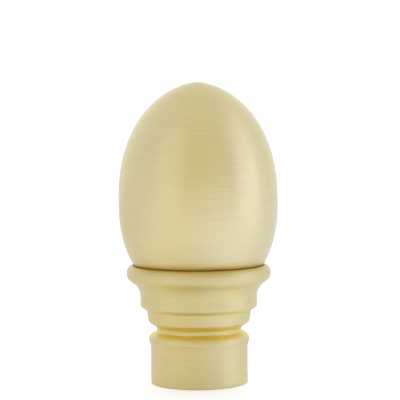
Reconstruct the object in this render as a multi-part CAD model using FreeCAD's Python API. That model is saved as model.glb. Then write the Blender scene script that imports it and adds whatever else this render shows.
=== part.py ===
import FreeCAD, Part
import math
import os

# Brass finial for the end of a curtain pole, standing on its socket end.
# Millimetres, +Z up along the axis, origin at the middle of the socket's mouth.
# An egg-shaped hollow head screws onto a moulded collar, and a grub screw in the
# collar's sleeve grips the pole.

# Pole and its socket
pole_diameter = 28.0
pole_clearance = 0.2
socket_depth = 14.0
socket_chamfer = 0.5
sleeve_wall = 3.0

# Collar mouldings from the foot up: a rise goes out from the sleeve, a height goes up
# from the corner below, and a round is the radius that softens a corner
foot_round = 0.5
sleeve_height = 13.4
bead_blend = 5.0
bead_rise = 1.17
bead_height = 3.4
bead_round = 2.15
neck_depth = 2.2
neck_shoulder = 1.7
neck_height = 1.6
neck_low_round = 0.7
neck_high_round = 1.5
lower_step_rise = 0.7
lower_step_underside = 1.75
lower_step_round = 0.9
lower_step_flare = 0.65
lower_step_height = 4.15
step_corner_round = 0.25
upper_step_rise = 3.6
upper_step_underside = 1.45
upper_step_round = 1.1
upper_step_taper = 0.21
upper_step_height = 6.4
cove_round = 6.2
lip_rise = 8.28
lip_underside = 3.6
lip_low_round = 2.5
lip_height = 4.28
lip_top_round = 2.6
lip_fall = 0.28
lip_width = 2.28
lip_edge_round = 0.3

# Joint between collar and head, with the thread drawn as plain cylinders
recess_depth = 0.5
seam_gap = 0.2
seat_width = 4.4
thread_length = 6.5
thread_clearance = 0.1
thread_chamfer = 0.6
thread_relief = 0.8
spigot_wall = 3.5
web_thickness = 5.0
hollow_bevel = 5.0

# Egg head: both halves of its outline are superellipses that share the widest circle
egg_swell = 4.92
egg_rise = 22.37
egg_nose = 42.05
egg_wall = 3.0
egg_edge_round = 1.2
across_power = 1.73
along_power = 2.37
point_spacing = 7.0  # degrees of curve angle between the points that the outline is drawn through
touching = 1e-6  # points nearer than this are one point

# Grub screw through the back of the sleeve
screw_diameter = 4.0
screw_length = 3.0
screw_clearance = 0.05
screw_height = 7.0
screw_chamfer = 0.4
key_across_flats = 2.0
key_depth = 1.5
cup_diameter = 2.4
cup_depth = 0.6

# Sizes that follow from the ones above
socket_radius = pole_diameter / 2 + pole_clearance
sleeve_radius = socket_radius + sleeve_wall
neck_radius = sleeve_radius - neck_depth
lower_step_radius = sleeve_radius + lower_step_rise
upper_step_radius = sleeve_radius + upper_step_rise
lip_radius = sleeve_radius + lip_rise
recess_radius = lip_radius - lip_width
spigot_radius = recess_radius - seat_width
mouth_radius = spigot_radius + thread_clearance
hollow_radius = spigot_radius - spigot_wall

bead_z = sleeve_height + bead_height
neck_z = bead_z + neck_shoulder
neck_top_z = neck_z + neck_height
lower_step_z = neck_top_z + lower_step_underside
lower_step_top_z = lower_step_z + lower_step_height
upper_step_z = lower_step_top_z + upper_step_underside
cove_z = upper_step_z + upper_step_height
lip_z = cove_z + lip_underside
lip_top_z = lip_z + lip_height
lip_edge_z = lip_top_z + lip_fall
seat_z = lip_edge_z - recess_depth
spigot_top_z = seat_z + thread_length
hollow_floor_z = socket_depth + web_thickness

egg_radius = recess_radius + egg_swell
egg_middle_z = lip_edge_z + egg_rise
egg_thread_top_z = spigot_top_z + thread_relief


def superellipse_depth(drop, radius, radius_there):
    """Half height of the superellipse that is radius_there wide at drop from its middle."""
    share = 1 - (radius_there / radius) ** across_power
    return drop / share ** (1 / along_power)


egg_base_depth = superellipse_depth(egg_rise, egg_radius, recess_radius - seam_gap)


def superellipse_angle(share_along):
    """Curve angle at which the height is this share of the half height."""
    return math.asin(share_along ** (along_power / 2))


def superellipse_points(radius, half_height, first, last):
    """Points r cos(a)^(2/m) across and h sin(a)^(2/n) along, from curve angle first to last."""
    count = math.ceil(math.degrees(abs(last - first)) / point_spacing)
    points = []
    for step in range(count + 1):
        angle = first + (last - first) * step / count
        across = max(math.cos(angle), 0.0) ** (2 / across_power)
        along = math.sin(angle) ** (2 / along_power)
        points.append(FreeCAD.Vector(radius * across, 0, egg_middle_z + half_height * along))
    return points


def egg_curve(inset, bottom_z):
    """Egg outline moved in by inset, from bottom_z up to its nose on the axis.

    The curve is drawn over both sides, so that it crosses the axis level, and kept on one side.
    """
    radius = egg_radius - inset
    below = egg_base_depth - inset
    above = egg_nose - inset
    start = superellipse_angle((egg_middle_z - bottom_z) / below)
    points = superellipse_points(radius, -below, start, 0)
    points += superellipse_points(radius, above, 0, math.pi / 2)[1:]
    nose = points[-1]
    nose.x = 0
    far_side = [FreeCAD.Vector(-point.x, 0, point.z) for point in reversed(points[:-1])]
    curve = Part.BSplineCurve()
    curve.interpolate(points + far_side)
    curve.segment(curve.FirstParameter, curve.parameter(nose))
    return curve.toShape(), points[0], nose


def rounded_outline(corners):
    """Closed wire in the XZ plane through (radius, height, round) corners, rounded by tangent arcs."""
    spots = [FreeCAD.Vector(radius, 0, height) for radius, height, _ in corners]
    count = len(spots)
    reach = []
    for index, (_, _, corner_round) in enumerate(corners):
        back = spots[index - 1] - spots[index]
        ahead = spots[(index + 1) % count] - spots[index]
        reach.append(corner_round / math.tan(back.getAngle(ahead) / 2))
    share = [1.0] * count
    for index in range(count):
        after = (index + 1) % count
        side = (spots[after] - spots[index]).Length
        room = side / max(reach[index] + reach[after], side)
        share[index] = min(share[index], room)
        share[after] = min(share[after], room)
    edges = []
    ends = []
    for index, (_, _, corner_round) in enumerate(corners):
        spot = spots[index]
        back = (spots[index - 1] - spot).normalize()
        ahead = (spots[(index + 1) % count] - spot).normalize()
        length = reach[index] * share[index]
        start = spot + back * length
        end = spot + ahead * length
        ends.append((start, end))
        if corner_round > 0:
            half = back.getAngle(ahead) / 2
            inward = (back + ahead).normalize()
            middle = spot + inward * (corner_round * share[index] * (1 / math.sin(half) - 1))
            edges.append(Part.Arc(start, middle, end).toShape())
    for index in range(count):
        leave = ends[index][1]
        arrive = ends[(index + 1) % count][0]
        if leave.distanceToPoint(arrive) > touching:
            edges.append(Part.LineSegment(leave, arrive).toShape())
    return Part.Wire(Part.__sortEdges__(edges))


def turned(wire):
    """Solid of revolution of a closed outline about the Z axis."""
    return Part.Face(wire).revolve(FreeCAD.Vector(0, 0, 0), FreeCAD.Vector(0, 0, 1), 360)


def along_screw(radius, start, length):
    """Cylinder on the grub screw's axis, from start outward towards the back."""
    base = FreeCAD.Vector(0, start, screw_height)
    return Part.makeCylinder(radius, length, base, FreeCAD.Vector(0, 1, 0))


def make_collar():
    """Cast collar: mouldings outside, pole socket below, recess and threaded spigot above."""
    outside = [
        (sleeve_radius, 0, foot_round),
        (sleeve_radius, sleeve_height, bead_blend),
        (sleeve_radius + bead_rise, bead_z, bead_round),
        (neck_radius, neck_z, neck_low_round),
        (neck_radius, neck_top_z, neck_high_round),
        (lower_step_radius, lower_step_z, lower_step_round),
        (lower_step_radius + lower_step_flare, lower_step_top_z, step_corner_round),
        (upper_step_radius, upper_step_z, upper_step_round),
        (upper_step_radius - upper_step_taper, cove_z, cove_round),
        (lip_radius, lip_z, lip_low_round),
        (lip_radius, lip_top_z, lip_top_round),
    ]
    joint = [
        (recess_radius, lip_edge_z, lip_edge_round),
        (recess_radius, seat_z, 0),
        (spigot_radius, seat_z, 0),
        (spigot_radius, spigot_top_z - thread_chamfer, 0),
        (spigot_radius - thread_chamfer, spigot_top_z, 0),
        (hollow_radius, spigot_top_z, 0),
        (hollow_radius, hollow_floor_z + hollow_bevel, 0),
        (hollow_radius - hollow_bevel, hollow_floor_z, 0),
        (0, hollow_floor_z, 0),
    ]
    socket = [
        (0, socket_depth, 0),
        (socket_radius, socket_depth, 0),
        (socket_radius, socket_chamfer, 0),
        (socket_radius + socket_chamfer, 0, 0),
    ]
    body = turned(rounded_outline(outside + joint + socket))
    tapped_hole = along_screw(screw_diameter / 2 + screw_clearance, 0, 2 * sleeve_radius)
    return body.cut(tapped_hole)


def make_egg():
    """Hollow head: the wall follows the egg's outline, and a thick ring round the mouth holds the thread.

    The outer edge of the mouth is rounded, so that it meets the collar in a soft groove.
    """
    outer, base, nose = egg_curve(0, seat_z)
    inner, ring, roof = egg_curve(egg_wall, egg_thread_top_z)
    mouth = FreeCAD.Vector(mouth_radius + thread_chamfer, 0, seat_z)
    thread_start = FreeCAD.Vector(mouth_radius, 0, seat_z + thread_chamfer)
    thread_end = FreeCAD.Vector(mouth_radius, 0, egg_thread_top_z)
    corners = [ring, thread_end, thread_start, mouth, base]
    edges = [Part.LineSegment(a, b).toShape() for a, b in zip(corners, corners[1:])]
    edges += [outer, Part.LineSegment(nose, roof).toShape(), inner]
    egg = turned(Part.Wire(Part.__sortEdges__(edges)))
    foot_edges = [edge for edge in egg.Edges if edge.BoundBox.ZMax < seat_z + thread_chamfer / 2]
    outer_edge = max(foot_edges, key=lambda edge: edge.BoundBox.XLength)
    return egg.makeFillet(egg_edge_round, [outer_edge])


def make_grub_screw():
    """Set screw with a hexagon key socket outside and a cup point flush with the socket's wall."""
    radius = screw_diameter / 2
    outer_end = socket_radius + screw_length
    screw = along_screw(radius, socket_radius, screw_length)
    rims = [edge for edge in screw.Edges if edge.isClosed()]
    screw = screw.makeChamfer(screw_chamfer, rims)
    point = FreeCAD.Vector(0, socket_radius, screw_height)
    cup = Part.makeCone(cup_diameter / 2, 0, cup_depth, point, FreeCAD.Vector(0, 1, 0))
    corner_radius = key_across_flats / math.sqrt(3)
    hexagon = []
    for side in range(7):
        angle = math.pi / 3 * side
        across = corner_radius * math.cos(angle)
        up = corner_radius * math.sin(angle)
        hexagon.append(FreeCAD.Vector(across, outer_end, screw_height + up))
    key = Part.Face(Part.makePolygon(hexagon)).extrude(FreeCAD.Vector(0, -key_depth, 0))
    return screw.cut(cup).cut(key)


os.makedirs("parts", exist_ok=True)
make_egg().exportStep("parts/egg_head.step")
make_collar().exportStep("parts/socket_collar.step")
make_grub_screw().exportStep("parts/grub_screw.step")
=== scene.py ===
import math

import bpy
import numpy as np
from mathutils import Matrix


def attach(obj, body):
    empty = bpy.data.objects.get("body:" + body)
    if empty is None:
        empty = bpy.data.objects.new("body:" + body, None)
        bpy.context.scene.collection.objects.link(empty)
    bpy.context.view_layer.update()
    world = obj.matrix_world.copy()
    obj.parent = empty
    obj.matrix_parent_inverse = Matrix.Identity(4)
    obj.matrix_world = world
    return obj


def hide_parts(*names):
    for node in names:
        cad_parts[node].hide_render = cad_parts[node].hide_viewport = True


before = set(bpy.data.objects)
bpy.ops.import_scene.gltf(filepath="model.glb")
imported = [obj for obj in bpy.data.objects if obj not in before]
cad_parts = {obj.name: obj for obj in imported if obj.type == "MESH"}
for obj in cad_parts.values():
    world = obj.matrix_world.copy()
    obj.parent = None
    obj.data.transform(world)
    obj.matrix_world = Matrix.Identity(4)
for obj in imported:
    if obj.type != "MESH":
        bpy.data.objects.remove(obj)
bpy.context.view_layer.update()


# Socket collar
# A brass casting turned all over: a plain sleeve that slides over the pole's end, a bead, a neck, two
# steps and a rolled lip. Polished by hand and lacquered. A threaded spigot on top carries the head.

MM = 0.001
AROUND = 240  # columns round the axis on every turned piece
side_spacing = 0.6  # longest step along a straight side of an outline
arc_turn = math.radians(6)  # largest turn between two points of a rounded corner
hard_edge = math.radians(30)  # faces that meet at more than this aren't shaded as one
touching = 1e-4  # points nearer than this are one point
rounding = 1e-9  # slack for the last digits of a sum
socket_radius = 14.2
sleeve_radius = 17.2
screw_height = 7.0
screw_hole_radius = 2.05
screw_hole_edge = 0.2  # the hole's broken edge
patch_reach = 3.2  # half height of the patch of wall that the screw hole is let into
patch_columns = 8  # half width of that patch
wall_steps = 5  # steps from the patch's border to the hole
hole_steps = 4  # steps down the hole

# Outline from the socket's roof on the axis, down its wall, up the mouldings and over the spigot to the
# floor of the hollow. Each row is a corner's radius, height and round in millimetres.
collar_corners = np.array([
    (0, 14, 0),  # roof of the socket
    (socket_radius, 14, 0),
    (socket_radius, screw_height + patch_reach, 0),  # patch inside
    (socket_radius, screw_height - patch_reach, 0),
    (socket_radius, 0.5, 0),  # mouth
    (14.7, 0, 0),
    (sleeve_radius, 0, 0.5),  # foot
    (sleeve_radius, screw_height - patch_reach, 0),  # patch outside
    (sleeve_radius, screw_height + patch_reach, 0),
    (sleeve_radius, 13.4, 5.0),
    (18.37, 16.8, 2.15),  # bead
    (15.0, 18.5, 0.7),  # neck
    (15.0, 20.1, 1.5),
    (17.9, 21.85, 0.9),  # lower step
    (18.55, 26.0, 0.25),
    (20.8, 27.45, 1.1),  # upper step
    (20.59, 33.85, 6.2),  # cove
    (25.48, 37.45, 2.5),  # lip
    (25.48, 41.73, 2.6),
    (23.2, 42.01, 0.3),
    (23.2, 41.51, 0),  # seat of the head
    (18.8, 41.51, 0),
    (18.8, 47.41, 0),  # spigot
    (18.2, 48.01, 0),
    (15.3, 48.01, 0),
    (15.3, 24.0, 0),  # hollow
    (10.3, 19.0, 0),
    (0, 19.0, 0),
])


def rounded_outline(corners):
    """Points along straight sides whose corners are rounded by tangent arcs.

    An arc leaves a side at round * tan(bend / 2) from the corner; where a side is too short for both of
    its arcs, they shrink alike. Sides are cut into steps of side_spacing at most, and arcs into arc_turn.
    """
    spot = corners[:, :2]
    side = np.diff(spot, axis=0)
    length = np.linalg.norm(side, axis=1)
    along = side / length[:, None]
    before, after = along[:-1], along[1:]
    bend = np.zeros(len(spot))
    bend[1:-1] = np.arctan2(
        before[:, 0] * after[:, 1] - before[:, 1] * after[:, 0], (before * after).sum(1)
    )
    reach = corners[:, 2] * np.tan(np.abs(bend) / 2)
    room = length / np.maximum(reach[:-1] + reach[1:], length)
    share = np.minimum(np.append(room, 1), np.insert(room, 0, 1))
    reach = reach * share
    radius = corners[:, 2] * share
    into = np.vstack([along[:1], along])
    start = spot - into * reach[:, None]
    turned_left = np.column_stack([-into[:, 1], into[:, 0]])
    centre = start + turned_left * (radius * np.sign(bend))[:, None]

    steps = np.where(reach > 0, np.ceil(np.abs(bend) / arc_turn), 0).astype(int)
    corner = np.repeat(np.arange(len(spot)), steps + 1)
    step = np.arange(len(corner)) - np.repeat(np.cumsum(steps + 1) - steps - 1, steps + 1)
    angle = bend[corner] * step / np.maximum(steps[corner], 1)
    spoke = (start - centre)[corner]
    arcs = centre[corner] + np.column_stack([
        spoke[:, 0] * np.cos(angle) - spoke[:, 1] * np.sin(angle),
        spoke[:, 0] * np.sin(angle) + spoke[:, 1] * np.cos(angle),
    ])

    leave = spot[:-1] + along * reach[:-1, None]
    straight = start[1:] - leave
    pieces = np.ceil(np.linalg.norm(straight, axis=1) / side_spacing - rounding).astype(int)
    cuts = np.maximum(pieces - 1, 0)
    which = np.repeat(np.arange(len(cuts)), cuts)
    cut = np.arange(len(which)) - np.repeat(np.cumsum(cuts) - cuts, cuts) + 1
    sides = leave[which] + straight[which] * (cut / (cuts[which] + 1))[:, None]

    points = np.vstack([arcs, sides])
    order = np.argsort(np.concatenate([2 * corner, 2 * which + 1]), kind="stable")
    points = points[order]
    apart = np.linalg.norm(np.diff(points, axis=0), axis=1) > touching
    return points[np.append(True, apart)]


def turned_grid(outline):
    """Surface of revolution: (r cos t, r sin t, z) for every outline point (r, z) and every angle t.

    Both ends of the outline lie on the axis and become single points. Returns the points, their numbers
    as a rings by columns table, the quads between rings in the same order, and the two fans of triangles
    that close the ends.
    """
    angle = np.arange(AROUND) * 2 * np.pi / AROUND
    radius, height = outline[1:-1].T
    rings = np.stack([
        np.outer(radius, np.cos(angle)),
        np.outer(radius, np.sin(angle)),
        np.outer(height, np.ones(AROUND)),
    ], axis=2)
    ends = np.array([(0, 0, outline[0, 1]), (0, 0, outline[-1, 1])])
    index = np.arange(radius.size * AROUND).reshape(radius.size, AROUND)
    ahead = np.roll(index, -1, axis=1)
    quads = np.stack([index[:-1], ahead[:-1], ahead[1:], index[1:]], axis=2)
    first = np.full(AROUND, index.size)
    fans = np.vstack([
        np.column_stack([first, ahead[0], index[0]]),
        np.column_stack([index[-1], ahead[-1], first + 1]),
    ])
    return np.vstack([rings.reshape(-1, 3), ends]), index, quads, fans


def outline_lengths(outline):
    """Length run along the outline up to each of its points."""
    return np.insert(np.cumsum(np.linalg.norm(np.diff(outline, axis=0), axis=1)), 0, 0.0)


def turned_object(name, points, quads, fans, run):
    """Mesh object in metres, shaded smooth apart from its hard edges.

    run is each point's length along the outline in millimetres. The mesh carries it as (cos t, sin t, run),
    where t is the point's angle round the axis, for tool marks that run round the piece.
    """
    away = np.maximum(np.hypot(points[:, 0], points[:, 1]), rounding)
    turning = np.column_stack([points[:, 0] / away, points[:, 1] / away, run])
    mesh = bpy.data.meshes.new(name)
    mesh.from_pydata((points * MM).tolist(), [], quads.tolist() + fans.tolist())
    mesh.attributes.new("turning", "FLOAT_VECTOR", "POINT").data.foreach_set("vector", turning.ravel())
    mesh.shade_smooth()
    mesh.set_sharp_from_angle(angle=hard_edge)
    made = bpy.data.objects.new(name, mesh)
    bpy.context.scene.collection.objects.link(made)
    return made


collar_outline = rounded_outline(collar_corners)
collar_points, collar_index, collar_quads, collar_fans = turned_grid(collar_outline)
collar_run = outline_lengths(collar_outline)


def wall_block(radius):
    """Rows and columns of the patch on the wall of this radius, and its point numbers, lowest row first."""
    level = collar_outline[1:-1]
    inside = np.abs(level[:, 1] - screw_height) < patch_reach + rounding
    rows = np.flatnonzero(np.isclose(level[:, 0], radius) & inside)
    columns = AROUND // 4 + np.arange(-patch_columns, patch_columns + 1)
    return rows, columns, collar_index[np.ix_(rows[np.argsort(level[rows, 1])], columns)]


def border(block):
    """Point numbers round the edge of a grid, in one turn."""
    return np.concatenate([block[0, :-1], block[:-1, -1], block[-1, :0:-1], block[:0:-1, 0]])


outer_rows, hole_columns, outer_block = wall_block(sleeve_radius)
inner_rows, _, inner_block = wall_block(socket_radius)
outer_border, inner_border = border(outer_block), border(inner_block)
outer_edge, inner_edge = collar_points[outer_border], collar_points[inner_border]
hole_turn = np.arctan2(outer_edge[:, 2] - screw_height, outer_edge[:, 0])


def hole_ring(radius, wall_radius):
    """Circle about the screw's axis, laid onto the wall of this radius."""
    across = radius * np.cos(hole_turn)
    return np.column_stack([
        across, np.sqrt(wall_radius**2 - across**2), screw_height + radius * np.sin(hole_turn)
    ])


def on_wall(spots, wall_radius):
    """Spots moved along Y onto the back of the wall of this radius."""
    spots = spots.copy()
    spots[..., 1] = np.sqrt(wall_radius**2 - spots[..., 0] ** 2)
    return spots


def shares_of_way(steps):
    """Shares of the way from one ring to another, without the first ring."""
    return np.linspace(0, 1, steps + 1)[1:, None, None]


# The patch runs from its outer border in to the hole's rim, through the wall and out to its inner border
rim = hole_ring(screw_hole_radius + screw_hole_edge, sleeve_radius)
throat = hole_ring(screw_hole_radius, sleeve_radius - screw_hole_edge)
mouth = hole_ring(screw_hole_radius, socket_radius)
hole_rings = np.concatenate([
    on_wall(outer_edge + (rim - outer_edge) * shares_of_way(wall_steps), sleeve_radius),
    throat[None],
    throat + (mouth - throat) * shares_of_way(hole_steps),
    on_wall(mouth + (inner_edge - mouth) * shares_of_way(wall_steps)[:-1], socket_radius),
])
hole_index = len(collar_points) + np.arange(hole_rings[..., 0].size).reshape(hole_rings.shape[:2])
hole_index = np.vstack([outer_border, hole_index, inner_border])
hole_ahead = np.roll(hole_index, -1, axis=1)
hole_quads = np.stack([hole_index[:-1], hole_ahead[:-1], hole_ahead[1:], hole_index[1:]], axis=2)

kept_quads = np.ones(collar_quads.shape[:2], bool)
kept_quads[outer_rows.min():outer_rows.max(), hole_columns[0]:hole_columns[-1]] = False
kept_quads[inner_rows.min():inner_rows.max(), hole_columns[0]:hole_columns[-1]] = False
collar = turned_object(
    "socket_collar_turned",
    np.vstack([collar_points, hole_rings.reshape(-1, 3)]),
    np.vstack([collar_quads[kept_quads], hole_quads.reshape(-1, 4)]),
    collar_fans,
    np.concatenate([
        np.repeat(collar_run[1:-1], AROUND),
        collar_run[[0, -1]],
        collar_run[outer_rows.min() + 1] + hole_rings[..., 2].ravel() - screw_height + patch_reach,
    ]),
)


def shader_node(tree, kind, inputs, **settings):
    """Adds a node. Each input is a value, or an output socket that it is linked from."""
    made = tree.nodes.new(kind)
    for name, value in settings.items():
        setattr(made, name, value)
    for name, value in inputs.items():
        if isinstance(value, bpy.types.NodeSocket):
            tree.links.new(value, made.inputs[name])
        else:
            made.inputs[name].default_value = value
    return made


def number(tree, operation, *inputs):
    """Output of one step of arithmetic on outputs or plain numbers."""
    return shader_node(tree, "ShaderNodeMath", dict(enumerate(inputs)), operation=operation).outputs[0]


def noise(tree, where, scale, detail, roughness):
    """Noise of about 0 to 1 that is stretched by the three scales, in cycles per unit of where."""
    stretched = shader_node(tree, "ShaderNodeMapping", {"Vector": where, "Scale": scale})
    made = shader_node(tree, "ShaderNodeTexNoise", {
        "Vector": stretched.outputs["Vector"], "Scale": 1.0, "Detail": detail, "Roughness": roughness
    })
    return made.outputs["Fac"]


def blended(tree, parts):
    """Sum of parts. Each is an output, the value that counts as nought in it, and its share."""
    total = 0.0
    for output, nought, share in parts:
        total = number(tree, "MULTIPLY_ADD", number(tree, "SUBTRACT", output, nought), share, total)
    return total


def attribute(tree, name, output):
    """Output of a value that the mesh carries at each point."""
    return shader_node(tree, "ShaderNodeAttribute", {}, attribute_name=name).outputs[output]


def object_place(tree):
    """Output of the place on the object, in metres."""
    return shader_node(tree, "ShaderNodeTexCoord", {}).outputs["Object"]


def colour_range(tree, value, start, end, first, second):
    """Colour that goes from first to second as value goes from start to end.

    Sockets 7 to 10 of the node are the range of the value and then the two colours.
    """
    made = shader_node(
        tree, "ShaderNodeMapRange",
        {"Vector": value, 7: (start, start, start), 8: (end, end, end), 9: first, 10: second},
        data_type="FLOAT_VECTOR",
    )
    return made.outputs["Vector"]


collar_brass = (0.81, 0.69, 0.345)
# Painted shade and reflection: the deep gold that sheltered creases turn to
crease_shade_gold = (0.88, 0.70, 0.20)
crease_start = 0.2  # depth at which the painted gold of shade and reflection in the creases begins
crease_full = 0.4  # depth from which it is full
# Painted shade that darkens both pieces towards the seam between egg and lip
seam_shade_gold = (0.59, 0.45, 0.17)
brushed = 0.72  # how far reflections are drawn out across the tool marks, from 0 to 1
across_marks = 0.25  # a quarter turn, because the tool marks run round the axis
lacquer = 0.5
lacquer_roughness = 0.3


def satin_brass(name, open_metal, marks_of):
    """Lacquered satin brass. marks_of(tree) gives the outputs for tone, depth, roughness and relief.

    Depth leads from the open metal's colour to the painted gold of shade and reflection in the creases,
    painted shade covers it towards the seam, tone is added to 1 and multiplies that, and relief is a height
    in millimetres.
    """
    made = bpy.data.materials.new(name)
    made.use_nodes = True
    tree = made.node_tree
    shader = tree.nodes["Principled BSDF"]
    tone, depth, roughness, relief = marks_of(tree)
    # Painted shade and reflection: sheltered creases turn to a deeper gold
    metal = colour_range(tree, depth, crease_start, crease_full, open_metal, crease_shade_gold)
    # Painted shade: both pieces darken towards the seam
    seam_shaded_metal = colour_range(tree, attribute(tree, "seam", "Fac"), 0.0, 1.0, metal, seam_shade_gold)
    level = number(tree, "ADD", tone, 1.0)
    tint = shader_node(tree, "ShaderNodeVectorMath", {0: seam_shaded_metal, "Scale": level}, operation="SCALE")
    bump = shader_node(tree, "ShaderNodeBump", {"Strength": 1.0, "Distance": MM, "Height": relief})
    tree.links.new(tint.outputs["Vector"], shader.inputs["Base Color"])
    tree.links.new(roughness, shader.inputs["Roughness"])
    tree.links.new(bump.outputs["Normal"], shader.inputs["Normal"])
    shader.inputs["Metallic"].default_value = 1.0
    shader.inputs["Anisotropic"].default_value = brushed
    shader.inputs["Anisotropic Rotation"].default_value = across_marks
    shader.inputs["Coat Weight"].default_value = lacquer
    shader.inputs["Coat Roughness"].default_value = lacquer_roughness
    return made


def slanted(tree, turning, radius, slope):
    """Coordinates in millimetres that follow marks which climb at this slope across the front and back."""
    return shader_node(tree, "ShaderNodeMapping", {
        "Vector": turning, "Scale": (radius, radius, 1.0), "Rotation": (0.0, slope, 0.0)
    }).outputs["Vector"]


# Each row is a pit's angle from the front in degrees, and its radius, height and half width in millimetres
casting_pits = (
    (57.8, 20.73, 31.4, 0.3),
    (56.2, 20.71, 30.4, 0.27),
    (62.4, 20.74, 31.6, 0.22),
    (52.0, 20.71, 30.0, 0.22),
    (58.0, 21.15, 33.15, 0.2),
    (34.0, 17.0, 17.45, 0.27),
    (16.5, 17.3, 17.2, 0.22),
    (41.9, 17.3, 17.2, 0.2),
    (66.6, 15.15, 18.5, 0.27),
    (77.5, 15.15, 18.5, 0.22),
)
pit_floor = 0.4  # share of a pit's half width that is flat


def pits(tree, places):
    """Mask of small round pits: 1 on a pit's floor, falling smoothly to 0 at its edge."""
    where = object_place(tree)
    total = 0.0
    for angle, radius, height, half_width in places:
        turn = math.radians(angle)
        centre = (radius * math.sin(turn) * MM, -radius * math.cos(turn) * MM, height * MM)
        apart = shader_node(tree, "ShaderNodeVectorMath", {0: where, 1: centre}, operation="DISTANCE")
        spot = shader_node(
            tree, "ShaderNodeMapRange",
            {
                "Value": apart.outputs["Value"],
                "From Min": pit_floor * half_width * MM,
                "From Max": half_width * MM,
                "To Min": 1.0,
                "To Max": 0.0,
            },
            interpolation_type="SMOOTHSTEP",
        )
        total = number(tree, "MAXIMUM", total, spot.outputs[0])
    return total


def collar_marks(tree):
    """Turning lines, slanting polish marks, soft clouds in the lacquer and a few casting pits, with painted
    crease shade.
    """
    turning = attribute(tree, "turning", "Vector")
    shelter = attribute(tree, "shelter", "Fac")
    lines = noise(tree, turning, scale=(1.6, 1.6, 2.4), detail=4.0, roughness=0.7)
    scores = noise(tree, turning, scale=(1.2, 1.2, 7.0), detail=2.0, roughness=0.7)
    hand = slanted(tree, turning, radius=20.0, slope=0.12)
    polish = noise(tree, hand, scale=(0.15, 0.15, 1.8), detail=3.0, roughness=0.65)
    clouds = noise(tree, object_place(tree), scale=(90.0, 90.0, 140.0), detail=2.0, roughness=0.5)
    pit = pits(tree, casting_pits)
    tone = blended(tree, [(lines, 0.58, 0.2), (scores, 0.5, 0.12), (polish, 0.5, 0.08), (pit, 0.0, -0.4)])
    # Shelter adds painted crease shade; clouds, lines and pits are the metal's own tone
    depth = blended(tree, [(shelter, 0.0, 1.0), (clouds, 0.5, 0.2), (lines, 0.5, 0.1), (pit, 0.0, 0.6)])
    roughness = blended(tree, [(lines, -3.0, 0.08), (polish, -0.8, 0.1)])
    relief = blended(tree, [(lines, 0.5, 0.004), (polish, 0.5, 0.004), (pit, 0.0, -0.05)])
    return tone, depth, roughness, relief


collar.data.materials.append(satin_brass("hand_polished_brass", collar_brass, collar_marks))
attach(collar, "root")
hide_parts("socket_collar")


# Egg head
# A hollow brass egg with a slightly pointed nose, brushed round its axis and lacquered. It screws onto
# the collar's spigot until its mouth beds in the recess, which leaves a fine dark seam round it.

egg_brass = (0.81, 0.69, 0.37)
egg_radius = 28.12
egg_middle = 64.38  # height of the widest circle
egg_above = 42.05
egg_below = 37.513
across_power = 1.73
along_power = 2.37
egg_wall = 3.0
egg_seat = 41.51
egg_edge_round = 1.2
edge_points = 4  # points of the outer curve, from its foot, that the mouth's rounded edge takes up
thread_top = 48.81
thread_radius = 18.9
thread_chamfer = 0.6
outer_spacing = 0.55
inner_spacing = 1.8
curve_steps = 6000  # fine steps on each half of the curve, by which its length is measured


def egg_outline(inset, bottom, spacing):
    """Superellipse outline from the nose down to this height, evenly spaced along its length.

    At curve angle a the radius is R cos(a)^(2/m), and the height above or below the widest circle is
    h sin(a)^(2/n), with its own h above and below.
    """
    radius, above, below = np.array([egg_radius, egg_above, egg_below]) - inset
    lowest = np.arcsin(((egg_middle - bottom) / below) ** (along_power / 2))
    fine = np.linspace(0, 1, curve_steps + 1)
    upper = np.pi / 2 * (1 - fine)
    lower = lowest * fine[1:]
    curve = np.vstack([
        np.column_stack([
            radius * np.maximum(np.cos(upper), 0) ** (2 / across_power),
            egg_middle + above * np.sin(upper) ** (2 / along_power),
        ]),
        np.column_stack([
            radius * np.cos(lower) ** (2 / across_power),
            egg_middle - below * np.sin(lower) ** (2 / along_power),
        ]),
    ])
    curve[0, 0] = 0
    run = outline_lengths(curve)
    even = np.linspace(0, run[-1], math.ceil(run[-1] / spacing) + 1)
    return np.column_stack([np.interp(even, run, curve[:, 0]), np.interp(even, run, curve[:, 1])])


outer_curve = egg_outline(0, egg_seat, outer_spacing)
inner_curve = egg_outline(egg_wall, thread_top, inner_spacing)
mouth_corners = np.array([
    (thread_radius, thread_top, 0),
    (thread_radius, egg_seat + thread_chamfer, 0),
    (thread_radius + thread_chamfer, egg_seat, 0),
    (*outer_curve[-1], egg_edge_round),
    (*outer_curve[-edge_points], 0),
])
mouth_ring = rounded_outline(mouth_corners)
egg_profile = np.vstack([inner_curve, mouth_ring, outer_curve[-edge_points - 1::-1]])
egg_points, _, egg_quads, egg_fans = turned_grid(egg_profile)
egg_run = outline_lengths(egg_profile)
egg = turned_object(
    "egg_head_turned",
    egg_points,
    egg_quads.reshape(-1, 4),
    egg_fans,
    np.append(np.repeat(egg_run[1:-1], AROUND), egg_run[[0, -1]]),
)


def outline_shelter(outline):
    """How far each point of an outline lies in the shade of the rest, from 0 in the open to 1.

    Seen from a point, what comes later on the outline stands up to some angle above the tangent ahead of
    it, and what came earlier above the tangent behind it. Shelter is their sum over the half circle.
    """
    ahead = np.gradient(outline, axis=0)
    ahead /= np.linalg.norm(ahead, axis=1)[:, None]
    outward = np.column_stack([ahead[:, 1], -ahead[:, 0]])
    apart = outline[None] - outline[:, None]
    along = (apart * ahead[:, None]).sum(2)
    above = (apart * outward[:, None]).sum(2)
    later = np.triu(np.arctan2(above, along), 1).max(1)
    earlier = np.tril(np.arctan2(above, -along), -1).max(1)
    return np.clip((later + earlier) / np.pi, 0, 1)


def set_rings(piece, name, rings):
    """Gives every point of a turned piece the value of its ring, and none to points off the rings."""
    spare = len(piece.data.vertices) - (len(rings) - 2) * AROUND
    values = np.append(np.repeat(rings[1:-1], AROUND), np.zeros(spare))
    piece.data.attributes.new(name, "FLOAT", "POINT").data.foreach_set("value", values)
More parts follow.
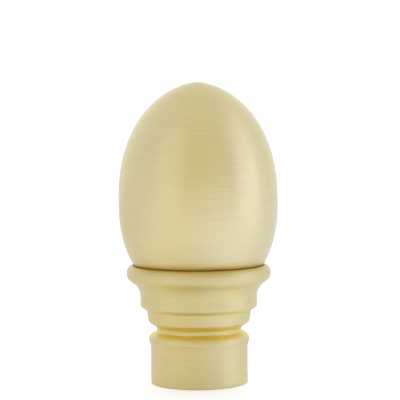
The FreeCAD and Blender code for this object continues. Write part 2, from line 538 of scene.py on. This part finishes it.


# Creases for the painted shade and reflection gold are found on the whole outside, from the foot over the
# seam to the nose
neck_floor = 15.2  # the painted crease shade is weaker on the neck inside this radius
neck_shade_share = 0.55  # share of its shelter that is left there
collar_foot = np.flatnonzero(np.isclose(collar_outline[:, 1], 0))[-1]
collar_seat = np.flatnonzero(np.isclose(collar_outline[:, 1], egg_seat))[0]
egg_foot = np.flatnonzero(np.isclose(egg_profile[:, 1], egg_seat))[-1]
outside = np.vstack([collar_outline[collar_foot:collar_seat], egg_profile[egg_foot:-1]])
sheltered = outline_shelter(outside) * np.where(outside[:, 0] < neck_floor, neck_shade_share, 1)
collar_rows = collar_seat - collar_foot
set_rings(collar, "shelter", np.pad(
    sheltered[:collar_rows], (collar_foot, len(collar_outline) - collar_seat)
))
set_rings(egg, "shelter", np.pad(sheltered[collar_rows:], (egg_foot, 1)))

seam_place = (23.1, egg_seat + 0.4)  # radius and height of the seam between egg and lip
collar_seam_width = 1.9
egg_seam_width = 1.5


def seam_tone(outline, width):
    """Painted shade along the seam: it fades as exp(-d / width) with the distance d from the seam."""
    return np.exp(-np.linalg.norm(outline - seam_place, axis=1) / width)


# Painted shade near the seam on the collar and on the egg
set_rings(collar, "seam", seam_tone(collar_outline, collar_seam_width))
set_rings(egg, "seam", seam_tone(egg_profile, egg_seam_width))


def egg_marks(tree):
    """Brush lines that run round the egg: broad bands, dense lines and a few sharp scores, with painted
    crease shade.
    """
    turning = attribute(tree, "turning", "Vector")
    shelter = attribute(tree, "shelter", "Fac")
    bands = noise(tree, turning, scale=(1.5, 1.5, 0.4), detail=2.0, roughness=0.5)
    lines = noise(tree, turning, scale=(1.4, 1.4, 2.8), detail=3.0, roughness=0.6)
    scores = noise(tree, turning, scale=(2.0, 2.0, 6.0), detail=2.0, roughness=0.7)
    tone = blended(tree, [(bands, 0.5, 0.04), (lines, 0.5, 0.2), (scores, 0.5, 0.12)])
    # Shelter adds painted crease shade; bands and lines are the metal's own tone
    depth = blended(tree, [(shelter, 0.0, 1.0), (bands, 0.5, 0.08), (lines, 0.5, 0.08)])
    roughness = blended(tree, [(lines, -2.3, 0.12), (scores, 0.5, 0.08)])
    relief = blended(tree, [(lines, 0.5, 0.005), (scores, 0.5, 0.003)])
    return tone, depth, roughness, relief


egg.data.materials.append(satin_brass("brushed_brass", egg_brass, egg_marks))
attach(egg, "root")
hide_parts("egg_head")


# Grub screw
# A plain zinc plated steel set screw with a hexagon key socket, in the tapped hole at the back of the
# sleeve. It is turned in against the pole with a 2 mm key.

zinc_grey = (0.52, 0.52, 0.5)
zinc_darkest = 0.8  # tone at the bottom of the grain
zinc_palest = 1.1
zinc = bpy.data.materials.new("zinc_plated_steel")
zinc.use_nodes = True
zinc_tree = zinc.node_tree
zinc_shader = zinc_tree.nodes["Principled BSDF"]
zinc_grain = noise(
    zinc_tree, object_place(zinc_tree), scale=(2500.0, 2500.0, 2500.0), detail=3.0, roughness=0.6
)
zinc_tone = shader_node(zinc_tree, "ShaderNodeMapRange", {
    "Value": zinc_grain, "To Min": zinc_darkest, "To Max": zinc_palest
})
zinc_tint = shader_node(
    zinc_tree, "ShaderNodeVectorMath", {0: zinc_grey, "Scale": zinc_tone.outputs[0]}, operation="SCALE"
)
zinc_roughness = blended(zinc_tree, [(zinc_grain, -1.2, 0.2)])
zinc_tree.links.new(zinc_tint.outputs["Vector"], zinc_shader.inputs["Base Color"])
zinc_tree.links.new(zinc_roughness, zinc_shader.inputs["Roughness"])
zinc_shader.inputs["Metallic"].default_value = 1.0
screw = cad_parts["grub_screw"]
screw.data.materials.clear()
screw.data.materials.append(zinc)


# Studio
# A white paper table that runs on into a white background. In the metal the room shows as pale walls,
# warmer on the camera's side, with three cool lamps on the right and a broad one at the front left.
# The camera looks a little down on the egg.

table_reach = 4.0  # metres from the finial to each edge
table = bpy.data.objects.new("table", bpy.data.meshes.new("table"))
table.data.from_pydata(
    [
        (-table_reach, -table_reach, 0),
        (table_reach, -table_reach, 0),
        (table_reach, table_reach, 0),
        (-table_reach, table_reach, 0),
    ],
    [],
    [(0, 1, 2, 3)],
)
bpy.context.scene.collection.objects.link(table)


def by_side(tree, direction, right, left, behind, front, above):
    """Colour that changes smoothly with a unit direction.

    Each side's colour is weighed by the square of the direction's part towards that side. These squares
    add up to 1, and what points down is black.
    """
    squares = []
    for half in ("MAXIMUM", "MINIMUM"):
        part = shader_node(tree, "ShaderNodeVectorMath", {0: direction, 1: (0, 0, 0)}, operation=half)
        part = part.outputs[0]
        square = shader_node(tree, "ShaderNodeVectorMath", {0: part, 1: part}, operation="MULTIPLY")
        squares.append(square.outputs[0])
    colour = shader_node(tree, "ShaderNodeCombineColor", {})
    for channel, sides in enumerate(zip(right, behind, above, left, front)):
        shares = []
        for square, weights in zip(squares, (sides[:3], (*sides[3:], 0))):
            share = shader_node(
                tree, "ShaderNodeVectorMath", {0: square, 1: weights}, operation="DOT_PRODUCT"
            )
            shares.append(share.outputs["Value"])
        tree.links.new(number(tree, "ADD", *shares), colour.inputs[channel])
    return colour.outputs[0]


def mixed(tree, share, first, second):
    """Colour that goes from first to second as share goes from 0 to 1, by the node's colour sockets."""
    mix = shader_node(tree, "ShaderNodeMix", {0: share, 6: first, 7: second}, data_type="RGBA")
    return mix.outputs[2]


black = (0, 0, 0, 1)
white = (1, 1, 1, 1)
paper_white = (0.9, 0.9, 0.9, 1)
paper_roughness = 0.9
paper_shown = (0.45, 0.45, 0.45, 1)  # light of its own that the camera sees, to reach the background's white
fill_near = 0.02  # metres from the axis up to which the metal shows the table's near glow, a painted shadow and golden bounce
fill_far = 0.14  # and from which it shows the far ones

paper = bpy.data.materials.new("white_paper")
paper.use_nodes = True
paper_tree = paper.node_tree
paper_shader = paper_tree.nodes["Principled BSDF"]
paper_shader.inputs["Base Color"].default_value = paper_white
paper_shader.inputs["Roughness"].default_value = paper_roughness
paper_shader.inputs["Specular IOR Level"].default_value = 0.0
table.data.materials.append(paper)

# Directions on the table are turned by an eighth of a turn, so that right stands for front right, front
# for front left, left for back left and behind for back right
paper_where = object_place(paper_tree)
paper_way = shader_node(paper_tree, "ShaderNodeVectorMath", {0: paper_where}, operation="NORMALIZE")
paper_turned = shader_node(paper_tree, "ShaderNodeMapping", {
    "Vector": paper_way.outputs[0], "Rotation": (0, 0, math.radians(45))
})
# The table glows only for reflections in the metal: near the finial dimmer and golder, a painted shadow and
# bounce; further out painted light that changes round the table
near_fill = by_side(
    paper_tree,
    paper_turned.outputs[0],
    right=(0.25, 0.30, 0.43),
    left=(0, 0, 0),
    behind=(0, 0, 0),
    front=(0.19, 0.16, 0.05),
    above=(0, 0, 0),
)
far_fill = by_side(
    paper_tree,
    paper_turned.outputs[0],
    right=(0.25, 0.29, 0.50),
    left=(0.02, 0.01, 0),
    behind=(0.05, 0.09, 0.18),
    front=(0.18, 0.17, 0.18),
    above=(0, 0, 0),
)
paper_apart = shader_node(paper_tree, "ShaderNodeVectorMath", {0: paper_where}, operation="LENGTH")
paper_far = shader_node(
    paper_tree, "ShaderNodeMapRange",
    {"Value": paper_apart.outputs["Value"], "From Min": fill_near, "From Max": fill_far},
    interpolation_type="SMOOTHSTEP",
)
paper_fill = mixed(paper_tree, paper_far.outputs[0], near_fill, far_fill)
paper_path = shader_node(paper_tree, "ShaderNodeLightPath", {}).outputs
paper_mirrored = number(
    paper_tree, "MAXIMUM", paper_path["Is Glossy Ray"], paper_path["Is Transmission Ray"]
)
paper_reflected = mixed(paper_tree, paper_mirrored, black, paper_fill)
paper_glow = mixed(paper_tree, paper_path["Is Camera Ray"], paper_reflected, paper_shown)
paper_tree.links.new(paper_glow, paper_shader.inputs["Emission Color"])
paper_shader.inputs["Emission Strength"].default_value = 1.0

table_light_front = 0.35  # light that falls on the table from the camera's side
table_light_behind = 2.6  # and from behind, which is most of it
world = bpy.data.worlds.new("white_studio")
bpy.context.scene.world = world
world.use_nodes = True
sky = world.node_tree
sky_way = shader_node(sky, "ShaderNodeTexCoord", {}).outputs["Generated"]
walls = by_side(
    sky,
    sky_way,
    right=(0.73, 0.76, 0.85),
    left=(0.76, 0.78, 0.84),
    behind=(0.91, 0.93, 0.90),
    front=(0.73, 0.67, 0.47),
    above=(0.78, 0.77, 0.71),
)
sky_behind = shader_node(sky, "ShaderNodeSeparateXYZ", {0: sky_way}).outputs["Y"]
table_light = shader_node(sky, "ShaderNodeMapRange", {
    "Value": sky_behind, "To Min": table_light_front, "To Max": table_light_behind
})
sky_path = shader_node(sky, "ShaderNodeLightPath", {}).outputs
sky_unseen = mixed(sky, sky_path["Is Diffuse Ray"], walls, table_light.outputs[0])
sky_colour = mixed(sky, sky_path["Is Camera Ray"], sky_unseen, white)
sky.links.new(sky_colour, sky.nodes["Background"].inputs["Color"])
sky.nodes["Background"].inputs["Strength"].default_value = 1.0

lamp_aim = (0, 0, 0.06)


def softbox(name, azimuth, elevation, distance, width, height, power, colour):
    """Area lamp that faces the egg. Azimuth 0 is on the camera's side and 90 is on the right."""
    lamp = bpy.data.lights.new(name, "AREA")
    lamp.shape = "RECTANGLE"
    lamp.size = width
    lamp.size_y = height
    lamp.energy = power
    lamp.color = colour
    made = bpy.data.objects.new(name, lamp)
    made.matrix_world = (
        Matrix.Translation(lamp_aim)
        @ Matrix.Rotation(math.radians(azimuth), 4, "Z")
        @ Matrix.Rotation(math.radians(90 - elevation), 4, "X")
        @ Matrix.Translation((0, 0, distance))
    )
    bpy.context.scene.collection.objects.link(made)


softbox(
    "right_softbox",
    azimuth=81, elevation=20, distance=0.6, width=0.36, height=0.75, power=0.14, colour=(0.90, 0.96, 1.25),
)
softbox(
    "right_rear_softbox",
    azimuth=102, elevation=18, distance=0.6, width=0.34, height=0.7, power=0.075, colour=(0.88, 0.97, 1.28),
)
softbox(
    "right_low_softbox",
    azimuth=75, elevation=8, distance=0.6, width=0.4, height=0.3, power=0.075, colour=(0.63, 0.93, 1.65),
)
softbox(
    "left_softbox",
    azimuth=-44, elevation=20, distance=1.0, width=0.7, height=1.0, power=0.26, colour=(0.81, 0.98, 1.26),
)

camera_place = (0.00067, -0.6049, 0.1040)
camera_dip = 3.7  # degrees below the level
camera_roll = -0.45
camera = bpy.data.objects.new("camera", bpy.data.cameras.new("camera"))
camera.data.lens = 154.4
camera.matrix_world = (
    Matrix.Translation(camera_place)
    @ Matrix.Rotation(math.radians(90 - camera_dip), 4, "X")
    @ Matrix.Rotation(math.radians(camera_roll), 4, "Z")
)
bpy.context.scene.collection.objects.link(camera)
bpy.context.scene.camera = camera
bpy.context.scene.view_settings.view_transform = "Standard"
